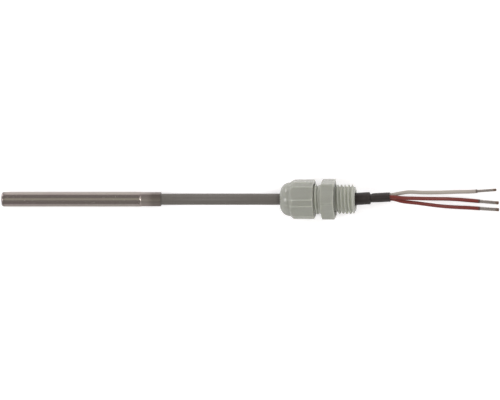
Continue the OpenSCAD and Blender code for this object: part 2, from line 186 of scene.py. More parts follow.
def noise(tree, place, scale, detail=3.0, roughness=0.5):
    """Noise at a scale, which may be given for each of the three axes."""
    if isinstance(scale, tuple):
        place = node(tree, "ShaderNodeMapping", {"Vector": place,
                                                 "Scale": scale}).outputs[0]
        scale = 1.0
    made = node(tree, "ShaderNodeTexNoise", {
        "Vector": place, "Scale": scale, "Detail": detail, "Roughness": roughness})
    return Number(tree, made.outputs["Fac"])


def part_of(tree, vector, axis):
    """One axis of a vector."""
    made = node(tree, "ShaderNodeSeparateXYZ", {"Vector": vector})
    return Number(tree, made.outputs[axis])


def blend(factor, first, second):
    """A colour between two, each a socket or three shares."""
    made = node(factor.tree, "ShaderNodeMix", {"Factor": factor}, data_type="RGBA")
    for index, colour in ((6, first), (7, second)):
        given = (*colour, 1) if isinstance(colour, tuple) else colour
        give(factor.tree, made.inputs[index], given)
    return made.outputs[2]


def bumped(height, distance, strength=1.0, under=None):
    """A normal raised by height, on top of the normal under it."""
    inputs = {"Height": height, "Distance": distance, "Strength": strength}
    if under is not None:
        inputs["Normal"] = under
    return node(height.tree, "ShaderNodeBump", inputs).outputs[0]


def surface(name, **sockets):
    """A material with a Principled shader; returns it, its tree, shader and place."""
    material = bpy.data.materials.new(name)
    material.use_nodes = True
    tree = material.node_tree
    shader = tree.nodes["Principled BSDF"]
    feed(shader, **sockets)
    place = node(tree, "ShaderNodeTexCoord").outputs["Object"]
    return material, tree, shader, place


def feed(shader, **sockets):
    """Gives the shader's own sockets, with _ for a space in their names."""
    for key, value in sockets.items():
        give(shader.id_data, shader.inputs[key.replace("_", " ")], value)


def add_glow(tree, shader, glow, output):
    """Sends a shader and a glow, added up, to the tree's output node."""
    both = node(tree, "ShaderNodeAddShader")
    tree.links.new(shader.outputs[0], both.inputs[0])
    tree.links.new(glow.outputs[0], both.inputs[1])
    tree.links.new(both.outputs[0], tree.nodes[output].inputs[0])


def scaled(colour, factor):
    return tuple(min(1.0, part * factor) for part in colour)


# ---------------------------------------- materials
def drawn_steel():
    """Satin stainless tube: lines along the draw, fine scratches and a faint tint.

    The crimp is duller and carries grime towards the rear, and the weld stains the tip.
    """
    made, tree, shader, place = surface("drawn_steel", Metallic=1.0)
    rear_x = laid((stem_length, 0, 0)).x
    lines = noise(tree, place, (60, 4200, 4200), 4.0, 0.6)
    hairs = noise(tree, place, (260, 15000, 15000), 3.0, 0.7)
    clouds = noise(tree, place, (55, 260, 260), 4.0, 0.6)
    rubs = noise(tree, place, (900, 2600, 2600), 5.0, 0.7)
    warm = blend(between(clouds, 0.3, 0.7), (0.350, 0.298, 0.284), (0.362, 0.335, 0.292))
    streaked = blend(between(lines, 0.4, 0.75, 0.0, 0.35), warm, (0.270, 0.232, 0.222))
    ragged = part_of(tree, place, "X") + between(rubs, 0.3, 0.7, -0.8 * MM, 0.8 * MM)
    pressed = between(ragged, rear_x - (crimp_length + crimp_ramp) * MM,
                      rear_x - (crimp_length - 0.4) * MM, 0.0, 0.15)
    grimy = between(ragged, rear_x - 0.75 * crimp_length * MM,
                    rear_x - 0.4 * crimp_length * MM, 0.0, 0.36)
    welded = between(ragged, tip_x + 0.5 * MM, tip_x + 2.0 * MM, 0.35, 0.0)
    stained = blend(welded + (pressed + grimy), streaked, (0.060, 0.046, 0.038))
    gloss = between(lines, 0.3, 0.7, 0.20, 0.27) + between(rubs, 0.5, 0.75, -0.02, 0.06)
    drawn = bumped(lines, 0.002 * MM, 0.5)
    feed(shader, Base_Color=stained, Roughness=gloss + pressed,
         Normal=bumped(hairs, 0.001 * MM, 0.4, drawn))
    return made


def moulded(name, colour, grain=1.0):
    """Moulded polyamide: a fine grain, faint flow marks, edges rubbed paler.

    Thread roots and the neck gap are painted paler, as painted light in their shade. A
    thread is duller than the rest, and its crests are painted darker, as painted shade.
    """
    made, tree, shader, place = surface(
        name, Specular_IOR_Level=0.5, Subsurface_Weight=1.0, Subsurface_Scale=0.002,
        Subsurface_Radius=(1.0, 1.0, 0.9))
    flow = noise(tree, place, (120, 260, 260), 3.0, 0.5)
    speckle = noise(tree, place, 3800.0, 2.0, 0.6)
    grains = noise(tree, place, 9000.0, 2.0, 0.5)
    dust = noise(tree, place, 1500.0, 5.0, 0.75)
    edge, painted_recess_light, threaded = (
        Number(tree, node(tree, "ShaderNodeAttribute",
                          attribute_name=label).outputs["Fac"])
        for label in ("edge", "painted_recess_light", "thread"))
    base = blend(between(flow, 0.3, 0.7), scaled(colour, 0.96), scaled(colour, 1.04))
    fine = blend(between(speckle, 0.42, 0.62, 0.0, 0.35), base, scaled(colour, 0.9))
    dusty = blend(between(dust, 0.62, 0.8, 0.0, 0.25), fine, (0.52, 0.51, 0.48))
    rubbed = blend(edge * between(dust, 0.3, 0.6, 0.3, 0.55), dusty, scaled(colour, 1.2))
    # painted shade: thread crests are painted darker to hold down the light falling on
    # them
    crests_painted_darker = blend(threaded - painted_recess_light, rubbed, scaled(colour, 0.88))
    # painted light: thread roots and the neck gap are painted paler to lift their shade
    recesses_painted_paler = blend(painted_recess_light * between(dust, 0.3, 0.6, 1.0, 0.85), crests_painted_darker,
                    scaled(colour, 1.6))
    gloss = between(flow, 0.3, 0.7, 0.18, 0.23) + between(speckle, 0.3, 0.7, 0.0, 0.08)
    feed(shader, Base_Color=recesses_painted_paler, Roughness=gloss + threaded * 0.22,
         Normal=bumped(grains, 0.008 * MM, 0.3 * grain))
    return made


def cable_plastic():
    """Extruded jacket: faint die lines along it, a soft sheen and slight scuffs."""
    made, tree, shader, place = surface("cable_jacket_plastic", Specular_IOR_Level=0.5)
    along = node(tree, "ShaderNodeUVMap").outputs[0]
    die_lines = noise(tree, along, (70, 9, 1), 3.0, 0.6)
    clouds = noise(tree, along, (3, 140, 1), 4.0, 0.6)
    scuffs = noise(tree, place, 1900.0, 5.0, 0.75)
    grain = noise(tree, place, 6500.0, 2.0)
    base = blend(between(clouds, 0.3, 0.7), (0.104, 0.095, 0.083), (0.128, 0.119, 0.104))
    lined = blend(between(die_lines, 0.45, 0.75, 0.0, 0.4), base, (0.084, 0.076, 0.067))
    worn = blend(between(scuffs, 0.62, 0.8, 0.0, 0.3), lined, (0.22, 0.21, 0.20))
    drawn = bumped(die_lines, 0.01 * MM, 0.35)
    feed(shader, Base_Color=worn, Roughness=between(scuffs, 0.35, 0.7, 0.42, 0.56),
         Normal=bumped(grain, 0.008 * MM, 0.3, drawn))
    return made


def shrunk_plastic():
    """Black shrunk sleeve: satin, with small creases and grey dust."""
    made, tree, shader, place = surface("shrunk_sleeve_plastic", Specular_IOR_Level=0.4)
    creases = noise(tree, place, (500, 1500, 1500), 4.0, 0.6)
    dust = noise(tree, place, 2600.0, 5.0, 0.75)
    base = blend(between(creases, 0.3, 0.7), (0.016, 0.011, 0.009), (0.024, 0.018, 0.016))
    dusty = blend(between(dust, 0.6, 0.8, 0.0, 0.25), base, (0.085, 0.072, 0.068))
    feed(shader, Base_Color=dusty, Roughness=between(creases, 0.3, 0.7, 0.42, 0.54),
         Normal=bumped(creases, 0.012 * MM, 0.4))
    return made


def insulation(name, colour, deep, end_x):
    """Extruded lead insulation: faint rubs and die lines, darker near the stripped end."""
    made, tree, shader, place = surface(name, Specular_IOR_Level=0.38)
    along = node(tree, "ShaderNodeUVMap").outputs[0]
    die_lines = noise(tree, along, (26, 14, 1), 3.0, 0.6)
    clouds = noise(tree, along, (2, 260, 1), 4.0, 0.6)
    rubs = noise(tree, place, 3200.0, 5.0, 0.75)
    base = blend(between(clouds, 0.3, 0.7), deep, colour)
    lined = blend(between(die_lines, 0.5, 0.75, 0.0, 0.45), base, scaled(deep, 0.8))
    rubbed = blend(between(rubs, 0.6, 0.8, 0.0, 0.35), lined, scaled(deep, 0.7))
    ragged = part_of(tree, place, "X") + between(rubs, 0.3, 0.7, -0.1 * MM, 0.1 * MM)
    # a darker ring just before the stripped end
    end_darkening = between(ragged, end_x - 0.8 * MM, end_x - 0.4 * MM, 0.0, 0.8)
    darkened_end = blend(end_darkening, rubbed, (0.060, 0.045, 0.038))
    feed(shader, Base_Color=darkened_end, Roughness=between(rubs, 0.35, 0.7, 0.3, 0.44),
         Normal=bumped(die_lines, 0.008 * MM, 0.4))
    return made


def metal(name, light, dark, gloss_from, gloss_to):
    """Tinned or bare copper: a dull, slightly blotched metal."""
    made, tree, shader, place = surface(name, Metallic=1.0)
    blotches = noise(tree, place, 2600.0, 4.0, 0.65)
    fine = noise(tree, place, 10400.0, 3.0, 0.6)
    feed(shader, Base_Color=blend(between(blotches, 0.35, 0.68), light, dark),
         Roughness=between(fine, 0.3, 0.7, gloss_from, gloss_to),
         Normal=bumped(fine, 0.006 * MM, 0.5))
    return made


def tinned_end(name, end_x):
    """Tinned strands that turn brown where they were cut."""
    made, tree, shader, place = surface(name, Metallic=1.0)
    blotches = noise(tree, place, 2600.0, 4.0, 0.65)
    fine = noise(tree, place, 9000.0, 3.0, 0.6)
    tinning = blend(between(blotches, 0.35, 0.68), (0.50, 0.455, 0.42),
                    (0.30, 0.27, 0.245))
    ragged = part_of(tree, place, "X") + between(blotches, 0.3, 0.7, -0.6 * MM, 0.6 * MM)
    cut = between(ragged, end_x - 1.9 * MM, end_x - 0.6 * MM)
    feed(shader, Base_Color=blend(cut * 0.85, tinning, (0.23, 0.15, 0.10)),
         Roughness=between(fine, 0.3, 0.7, 0.26, 0.45),
         Normal=bumped(fine, 0.008 * MM, 0.6))
    return made


def plain_body(name, colour, roughness, scale, depth):
    """A matt filling or rubber with a fine uneven surface."""
    made, tree, shader, place = surface(name, Specular_IOR_Level=0.5)
    clouds = noise(tree, place, scale, 4.0, 0.6)
    fine = noise(tree, place, scale * 5, 3.0, 0.6)
    base = blend(between(clouds, 0.3, 0.7), scaled(colour, 0.85), scaled(colour, 1.1))
    feed(shader, Base_Color=base,
         Roughness=between(fine, 0.3, 0.7, roughness - 0.06, roughness + 0.08),
         Normal=bumped(fine, depth * MM, 0.5))
    return made


steel = drawn_steel()
polyamide = moulded("grey_polyamide", (0.333, 0.342, 0.303))
claw_polyamide = moulded("pale_polyamide", (0.52, 0.53, 0.48), 0.6)
jacket_plastic = cable_plastic()
sleeve_plastic = shrunk_plastic()
white_colours = ((0.39, 0.355, 0.31), (0.335, 0.30, 0.26))
red_colours = ((0.183, 0.029, 0.020), (0.132, 0.021, 0.015))
tin = metal("tinned_wire", (0.62, 0.60, 0.57), (0.45, 0.42, 0.40), 0.28, 0.45)
copper = metal("bare_copper", (0.72, 0.42, 0.26), (0.55, 0.29, 0.17), 0.25, 0.42)
ceramic = plain_body("ceramic", (0.78, 0.75, 0.69), 0.55, 900.0, 0.01)
resin = plain_body("amber_resin", (0.58, 0.36, 0.11), 0.25, 600.0, 0.008)
rubber = plain_body("black_rubber", (0.030, 0.029, 0.028), 0.55, 1200.0, 0.01)


# ---------------------------------------- routes of the cords
def middle_point(a, b, c, d, t):
    """A point on the smooth curve through four points, at t between the middle two."""
    return b + 0.5 * t * (c - a + t * (2 * a - 5 * b + 4 * c - d
                                       + t * (3 * (b - c) + d - a)))


def smoothed(route, steps=2):
    """The route's points with steps - 1 more between each pair, on one smooth curve."""
    points = [Vector(point) for point in route]
    last = len(points) - 1
    made = []
    for i in range(last):
        four = points[max(i - 1, 0)], points[i], points[i + 1], points[min(i + 2, last)]
        made += [middle_point(*four, step / steps) for step in range(steps)]
    return made + [points[last]]


along_sleeve = Vector((math.cos(sleeve_swing), math.sin(sleeve_swing), 0))
across_sleeve = Vector((-math.sin(sleeve_swing), math.cos(sleeve_swing), 0))
up = Vector((0, 0, 1))
sleeve_point = Vector((gland_x + entry_end - sleeve_inset, 0, gland_z))
jacket_end = sleeve_point + jacket_reach * along_sleeve
mouth = sleeve_point + (neck_start_x + neck_length) * along_sleeve

jacket_start = stem_length - jacket_depth
# share of the run to the gland, share of the rise from the stem's height to the gland's
cable_bend = ((0.04, 0), (0.14, 0.04), (0.28, 0.22), (0.42, 0.48), (0.56, 0.74),
              (0.70, 0.94), (0.82, 1))
cable_route = [(jacket_start, 0, stem_r), (stem_length - 3, 0, stem_r)]
cable_route += [(stem_length + share * cable_run, 0, stem_r + rise * (gland_z - stem_r))
                for share, rise in cable_bend]
cable_route += [(gland_x + cap_length, 0, gland_z), (gland_x + hex_end, 0, gland_z),
                tuple(sleeve_point), tuple(jacket_end)]

lead_ring_r = lead_r / math.sin(math.radians(60))
lead_angles = {"white_lead": -30, "red_lead_1": 90, "red_lead_2": 210}
# each lead's free route out of the sleeve: x and y from the mouth, z over the surface
free_routes = {
    "white_lead": ((3.5, 1.5, 7.6), (7.5, 2.1, 7.1), (13, 1.9, 5.9), (18, 1.9, 4.6),
                   (23, 2.05, 3.1), (27.5, 2.2, 1.8), (31.5, 2.25, 1),
                   (34.7, 2.45, 0.75)),
    "red_lead_1": ((5, -0.3, 8.4), (11, -0.5, 6.8), (17, -0.6, 5), (22.5, -0.7, 3.2),
                   (27.5, -0.95, 1.8), (31.5, -1.3, 1), (35.7, -1.66, 0.75)),
    "red_lead_2": ((5, -1.7, 7.2), (11, -2.4, 6), (17, -3.2, 4.5), (22.5, -3.8, 3),
                   (27.5, -4.1, 1.7), (31.5, -4.3, 1), (35.8, -4.58, 0.75)),
}


def lead_route(name):
    """A lead's middle line: through the sleeve, then free and down to the surface."""
    angle = math.radians(lead_angles[name])
    offset = lead_ring_r * (math.cos(angle) * across_sleeve + math.sin(angle) * up)
    start_y = mouth.y - 0.1
    free = [Vector((mouth.x + x, start_y + y, z)) for x, y, z in free_routes[name]]
    return [jacket_end + offset, mouth + offset, *free]


# ---------------------------------------- meshes
def piece(name, points, faces, material, uvs=None):
    """A mesh object in the frame, made of points in metres."""
    mesh = bpy.data.meshes.new(name)
    mesh.from_pydata([tuple(point) for point in points], [], faces)
    if uvs is not None:
        layer = mesh.uv_layers.new(name="UVMap")
        corner_uvs = np.asarray(uvs, dtype=np.float32).reshape(-1)
        layer.data.foreach_set("uv", corner_uvs)
    mesh.materials.append(material)
    made = bpy.data.objects.new(name, mesh)
    scene.collection.objects.link(made)
    return made


def shaded(mesh):
    """Smooth, but for its sharp edges."""
    mesh.shade_smooth()
    mesh.set_sharp_from_angle(angle=math.radians(38))


def ring_faces(count, turns, looped):
    """Faces between count rings of points, the last joined to the first if looped.

    If not, a flat face closes each end.
    """
    faces = []
    for i in range(count if looped else count - 1):
        j = (i + 1) % count
        for k in range(turns):
            m = (k + 1) % turns
            faces.append((i * turns + k, j * turns + k, j * turns + m, i * turns + m))
    if not looped:
        faces.append(tuple(range(turns)))
        faces.append(tuple((count - 1) * turns + k for k in reversed(range(turns))))
    return faces


def tube(name, centres, r, sides, material):
    """A closed tube along centres, in frame metres, with UVs round and along it."""
    last = len(centres) - 1
    rings, travelled, done = [], [], 0.0
    for i, centre in enumerate(centres):
        along = (centres[min(i + 1, last)] - centres[max(i - 1, 0)]).normalized()
        side = up.cross(along).normalized()
        top = along.cross(side)
        rings += [centre + r * (math.cos(a) * side + math.sin(a) * top)
                  for a in (k * 2 * math.pi / sides for k in range(sides))]
        done += (centre - centres[max(i - 1, 0)]).length
        travelled.append(done / (2 * math.pi * r))
    uvs = []
    for low, high in zip(travelled, travelled[1:]):
        for k in range(sides):
            left, right = k / sides, (k + 1) / sides
            uvs += [(left, low), (left, high), (right, high), (right, low)]
    uvs += [(0.5, 0.0)] * sides + [(0.5, travelled[-1])] * sides
    made = piece(name, rings, ring_faces(len(centres), sides, False), material, uvs)
    shaded(made.data)
    return made


def repaint(name, material):
    """Gives a CAD node one material."""
    materials = nodes[name].data.materials
    materials.clear()
    materials.append(material)


def make_cable():
    """The free cable, from inside the stem to inside the sleeve."""
    centres = [laid(point) for point in smoothed(cable_route, 6)]
    jacket = tube("jacket_of_the_cable", centres, cable_r * MM, 40, jacket_plastic)
    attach(jacket, "probe")
    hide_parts("cable_jacket")
    path = [laid(point) for point in smoothed(cable_route)]
    laid((stem_length, 0, stem_r))


# ---------------------------------------- geometry trees
def tree_with(name, inputs):
    """A geometry tree with named inputs; returns it and what each input gives."""
    tree = bpy.data.node_groups.new(name, "GeometryNodeTree")
    for direction in ("OUTPUT", "INPUT"):
        tree.interface.new_socket("Geometry", in_out=direction,
                                  socket_type="NodeSocketGeometry")
    for label, value in inputs.items():
        kind = "NodeSocketInt" if isinstance(value, int) else "NodeSocketFloat"
        socket = tree.interface.new_socket(label, in_out="INPUT", socket_type=kind)
        socket.default_value = value
    entry = tree.nodes.new("NodeGroupInput")
    given = {label: Number(tree, entry.outputs[label]) for label in inputs}
    return tree, {"Geometry": entry.outputs["Geometry"], **given}


def end_tree(tree, geometry, material):
    """Ends the tree with its geometry made real and given one material."""
    real = node(tree, "GeometryNodeRealizeInstances", {"Geometry": geometry})
    painted = node(tree, "GeometryNodeSetMaterial",
                   {"Geometry": real.outputs[0], "Material": material})
    leave = tree.nodes.new("NodeGroupOutput")
    tree.links.new(painted.outputs[0], leave.inputs[0])


def shaped_by(made, trees):
    """made with each tree's result as its plain mesh; trees holds (tree, its inputs)."""
    for tree, values in trees:
        modifier = made.modifiers.new(tree.name, "NODES")
        modifier.node_group = tree
        for socket in tree.interface.items_tree:
            if socket.in_out == "INPUT" and socket.name in values:
                modifier[socket.identifier] = values[socket.name]
    evaluated = made.evaluated_get(bpy.context.evaluated_depsgraph_get())
    mesh = bpy.data.meshes.new_from_object(evaluated)
    old = made.data
    made.modifiers.clear()
    made.data = mesh
    mesh.name = made.name
    bpy.data.meshes.remove(old)
    return made


def attribute(tree, name):
    """The value that a turned piece's stations give for name."""
    made = node(tree, "GeometryNodeInputNamedAttribute", {"Name": name},
                data_type="FLOAT")
    return Number(tree, made.outputs["Attribute"])


def marked(tree, geometry, name, value):
    """The geometry with value kept on its points, for the material to read."""
    return node(tree, "GeometryNodeStoreNamedAttribute", {
        "Geometry": geometry, "Name": name, "Value": value}, data_type="FLOAT",
        domain="POINT").outputs[0]


class TurnedPoint:
    """The points of a turned piece: their x, and angle and radius round its axis."""

    def __init__(self, tree, given):
        place = node(tree, "GeometryNodeInputPosition").outputs[0]
        split = node(tree, "ShaderNodeSeparateXYZ", {"Vector": place})
        self.tree = tree
        self.given = given
        self.x, self.y, z = (Number(tree, socket) for socket in split.outputs)
        self.height = z - given["Axis Height"]
        self.angle = worked_out("ARCTAN2", self.height, self.y)
        self.r = worked_out("SQRT", self.y * self.y + self.height * self.height)

    def off_flat(self, turn):
        """Angle from the middle of the nearest of six flats, the first one at turn."""
        sixth = math.pi / 3
        flats = (self.angle - worked_out("RADIANS", turn)) / sixth
        return abs(worked_out("FRACT", flats + 6.5) - 0.5) * sixth

    def moved_to(self, new_r):
        """The geometry with its points moved to a new radius."""
        share = new_r / self.r
        z = self.height * share + self.given["Axis Height"]
        place = node(self.tree, "ShaderNodeCombineXYZ", {
            "X": self.x, "Y": self.y * share, "Z": z}).outputs[0]
        return node(self.tree, "GeometryNodeSetPosition", {
            "Geometry": self.given["Geometry"], "Position": place}).outputs[0]


def strand_tree(material):
    """Strands twisted round a solid core along +Z, each cut off square."""
    tree, given = tree_with("twisted strands", {
        "Strands": 12, "Length": 0.0077, "Bundle Radius": 0.00055,
        "Strand Radius": 0.00012, "Turns": 0.6})
    lay_r = given["Bundle Radius"] - given["Strand Radius"]
    spiral = node(tree, "GeometryNodeCurveSpiral", {
        "Resolution": 40, "Rotations": given["Turns"], "Start Radius": lay_r,
        "End Radius": lay_r, "Height": given["Length"]})
    profile = node(tree, "GeometryNodeCurvePrimitiveCircle", {
        "Resolution": 10, "Radius": given["Strand Radius"]})
    strand = node(tree, "GeometryNodeCurveToMesh", {
        "Curve": spiral.outputs[0], "Profile Curve": profile.outputs[0],
        "Fill Caps": True})
    places = node(tree, "GeometryNodePoints", {"Count": given["Strands"]})
    number = Number(tree, node(tree, "GeometryNodeInputIndex").outputs[0])
    angle = number / given["Strands"] * (2 * math.pi)
    turned = node(tree, "ShaderNodeCombineXYZ", {"Z": angle}).outputs[0]
    ring = node(tree, "GeometryNodeInstanceOnPoints", {
        "Points": places.outputs[0], "Instance": strand.outputs[0], "Rotation": turned})
    core = node(tree, "GeometryNodeMeshCylinder", {
        "Vertices": 32, "Radius": lay_r - given["Strand Radius"] * 0.1,
        "Depth": given["Length"]})
    lift = node(tree, "ShaderNodeCombineXYZ", {"Z": given["Length"] * 0.5}).outputs[0]
    stood = node(tree, "GeometryNodeTransform", {
        "Geometry": core.outputs["Mesh"], "Translation": lift})
    joined = node(tree, "GeometryNodeJoinGeometry")
    tree.links.new(ring.outputs[0], joined.inputs[0])
    tree.links.new(stood.outputs[0], joined.inputs[0])
    end_tree(tree, joined.outputs[0], material)
    return tree


def thread_tree(material):
    """Raises a right-handed screw thread wherever the attribute "thread" says."""
    tree, given = tree_with("screw thread", {
        "Pitch": 0.0015, "Depth": 0.0009, "Crest Width": 0.0002, "Flank Width": 0.0005,
        "First Crest": 0.0, "Axis Height": 0.008})
    point = TurnedPoint(tree, given)
    turns = (point.x - given["First Crest"]) / given["Pitch"]
    share = worked_out("FRACT", turns - point.angle / (2 * math.pi) + 0.5)
    off_crest = abs(share - 0.5) * given["Pitch"]
    crest_edge = given["Crest Width"] * 0.5
    flank = between(off_crest, crest_edge, crest_edge + given["Flank Width"], 1.0, 0.0,
                    "SMOOTHSTEP")
    weight = attribute(tree, "thread")
    moved = point.moved_to(point.r + flank * weight * given["Depth"])
    # thread roots and the neck gap are marked for painted light, which the material paints
    # paler
    root = worked_out("SUBTRACT", 1.0, flank) * weight
    painted_recess_light = worked_out("MAXIMUM", root, attribute(tree, "neck"))
    end_tree(tree, marked(tree, moved, "painted_recess_light", painted_recess_light), material)
    return tree


def grip_tree(material):
    """Cuts six flats, with a rib on each side, wherever the attribute "grip" says."""
    tree, given = tree_with("six grip flats", {
        "Across Flats": 0.015, "Corner Diameter": 0.0159, "Rib Diameter": 0.0162,
        "Rib Width": 0.001, "Rib Angle": 20.0, "Turn": 0.0, "Softness": 0.0001,
        "Worn Edge": 0.0001, "Axis Height": 0.008})
    point = TurnedPoint(tree, given)
    off_flat = point.off_flat(given["Turn"])
    flat_r = given["Across Flats"] * 0.5 / worked_out("COSINE", off_flat)
    corner_r = given["Corner Diameter"] * 0.5
    plain_r = worked_out("SMOOTH_MIN", flat_r, corner_r, given["Softness"])
    edge_r = given["Rib Width"] * 0.5
    centre_r = given["Rib Diameter"] * 0.5 - edge_r
    off_rib = off_flat - worked_out("RADIANS", given["Rib Angle"])
    across = centre_r * worked_out("SINE", off_rib)
    inside = edge_r * edge_r - across * across
    arch = worked_out("SQRT", worked_out("MAXIMUM", inside, 0.0))
    on_rib = worked_out("GREATER_THAN", inside, 0.0)
    rib_r = on_rib * (arch + centre_r * worked_out("COSINE", off_rib))
    form_r = worked_out("MAXIMUM", plain_r, rib_r)
    cut_r = worked_out("SMOOTH_MIN", point.r, form_r, given["Softness"])
    weight = attribute(tree, "grip")
    moved = point.moved_to(point.r + (cut_r - point.r) * weight)
    by_corner = between(abs(flat_r - corner_r), 0.0, given["Worn Edge"], 1.0, 0.0)
    rib_shows = worked_out("GREATER_THAN", rib_r, plain_r)
    worn = worked_out("MAXIMUM", by_corner, rib_shows) * weight
    end_tree(tree, marked(tree, moved, "edge", worn), material)
    return tree


def crimp_tree(material):
    """Presses six flats into a round tube behind a ramp, with soft edges."""
    tree, given = tree_with("six crimped flats", {
        "Flat Distance": 0.0027, "Round Radius": 0.003, "Start": 0.0, "Ramp": 0.0009,
        "Softness": 0.0001, "Flatness": 0.65, "Turn": 0.0, "Axis Height": 0.003})
    point = TurnedPoint(tree, given)
    flat = between(point.x, given["Start"] - given["Ramp"], given["Start"],
                   given["Round Radius"] + given["Softness"], given["Flat Distance"],
                   "SMOOTHSTEP")
    bow = worked_out("POWER", worked_out("COSINE", point.off_flat(given["Turn"])),
                     given["Flatness"])
    flat_r = (flat - attribute(tree, "inset")) / bow
    new_r = worked_out("SMOOTH_MIN", point.r, flat_r, given["Softness"])
    end_tree(tree, point.moved_to(new_r), material)
    return tree


# ---------------------------------------- tinned lead ends
def make_lead(name, colours, slot, core_end, bare_node, bare_r, strands):
    """One insulated lead and its tinned strands, which rest on the surface."""
    route = smoothed(lead_route(name))
    start = route[-1]
    sheath = insulation(name + "_plastic", *colours, laid(start).x)
    repaint(core_end, sheath)
    centres = [laid(point) for point in smoothed(lead_route(name), 5)]
    lead = tube(name + "_insulation", centres, lead_r * MM, 24, sheath)
    last_step = start - route[-2]
    swing = math.atan2(last_step.y, last_step.x)
    fall = math.asin((start.z - bare_r) / bare_length)
    along = Vector((math.cos(fall) * math.cos(swing), math.cos(fall) * math.sin(swing),
                    -math.sin(fall)))
    look = tinned_end(bare_node + "_tin", laid(start + bare_length * along).x)
    stub = piece(bare_node + "_strands", [(0, 0, 0)], [], look)
    # strands that touch one another round the bundle, and are pressed in by 4 %
    sine = math.sin(math.pi / strands)
    strand_r = bare_r * sine / (1 + sine) * 1.04
    shaped_by(stub, [(strand_tree(look), {
        "Strands": strands, "Length": (bare_length - bare_gap) * MM,
        "Bundle Radius": bare_r * MM, "Strand Radius": strand_r * MM, "Turns": 0.55})])
    stub.data.transform(Matrix.Translation(laid(start + bare_gap * along))
                        @ along.to_track_quat("Z", "Y").to_matrix().to_4x4())
    shaded(stub.data)
    for made, node_name, slot_name in ((lead, name, slot), (stub, bare_node, "tin")):
        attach(made, "probe")
        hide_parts(node_name)
    path = [laid(point) for point in route]
    laid(mouth)


make_cable()
make_lead("white_lead", white_colours, "white_insulation", "white_core_end",
          "white_bare_end", white_bare_r, 11)
for number in ("1", "2"):
    make_lead("red_lead_" + number, red_colours, "red_insulation",
              "red_core_end_" + number, "red_bare_end_" + number, red_bare_r, 12)


# ---------------------------------------- turned forms
def filleted(outline, radius):
    """A closed [x, radius] outline with each corner rounded, as far as its sides allow."""
    made = []
    count = len(outline)
    for i, (x, r) in enumerate(outline):
        here = Vector((x, r))
        back = Vector(outline[i - 1]) - here
        ahead = Vector(outline[(i + 1) % count]) - here
        turn = math.pi - back.angle(ahead)
        reach = min(radius * math.tan(turn / 2), 0.45 * back.length, 0.45 * ahead.length)
        if turn < math.radians(8) or reach < 0.005:
            made.append((x, r))
            continue
        first, last = here + back.normalized() * reach, here + ahead.normalized() * reach
        for step in range(5):
            t = step / 4
            point = first * (1 - t) ** 2 + here * 2 * t * (1 - t) + last * t ** 2
            made.append((point.x, point.y))
    return made


def with_stations(outline, low, high, step):
    """The outline with more points on its outer run between low and high along x."""
    made = []
    for (x0, r0), (x1, r1) in zip(outline, outline[1:] + outline[:1]):
        made.append((x0, r0))
        if x1 > x0 and low < (x0 + x1) / 2 < high and x1 - x0 > step:
            parts = int(math.ceil((x1 - x0) / step))
            made += [(x0 + (x1 - x0) * i / parts, r0 + (r1 - r0) * i / parts)
                     for i in range(1, parts)]
    return made


def arc(x, r, radius, start, end, steps):
    """Points on an arc about x, r, from one angle to another in degrees."""
    angles = [math.radians(start + (end - start) * i / steps) for i in range(steps + 1)]
    return [(x + radius * math.cos(a), r + radius * math.sin(a)) for a in angles]


def straight(start, end, r, count):
    return [(x, r) for x in np.linspace(start, end, count).tolist()]


def sixths(steps, turn):
    """The same steps from each flat's middle, round all six flats."""
    return sorted((turn + 60 * k + step) % 360 for k in range(6) for step in steps)


def ramp(x, start, full, fall, end):
    """0 before start and after end, 1 from full to fall, straight between."""
    return max(0.0, min(1.0, (x - start) / (full - start), (end - x) / (end - fall)))


def turned_shell(name, outline, angles, material, weights, start_x, axis_z,
                 looped=True):
    """A closed shell: an outline in millimetres, turned round the axis at axis_z.

    A looped outline joins up with itself; the other kind is closed by a flat disc at
    each end. weights gives each named attribute's value at a station.
    """
    stations = np.array(outline)
    turns = len(angles)
    a = np.radians(np.array(angles))
    x = np.repeat(start_x + stations[:, 0], turns)
    y = np.outer(stations[:, 1], np.cos(a)).ravel()
    z = axis_z + np.outer(stations[:, 1], np.sin(a)).ravel()
    points = np.stack([tip_x + x * MM, y * MM, z * MM], axis=1)
    made = piece(name, points, ring_faces(len(outline), turns, looped), material)
    for label, weight in weights.items():
        layer = made.data.attributes.new(label, "FLOAT", "POINT")
        values = [weight(x, r) for x, r in outline]
        layer.data.foreach_set("value", np.repeat(values, turns).astype(np.float32))
    return made


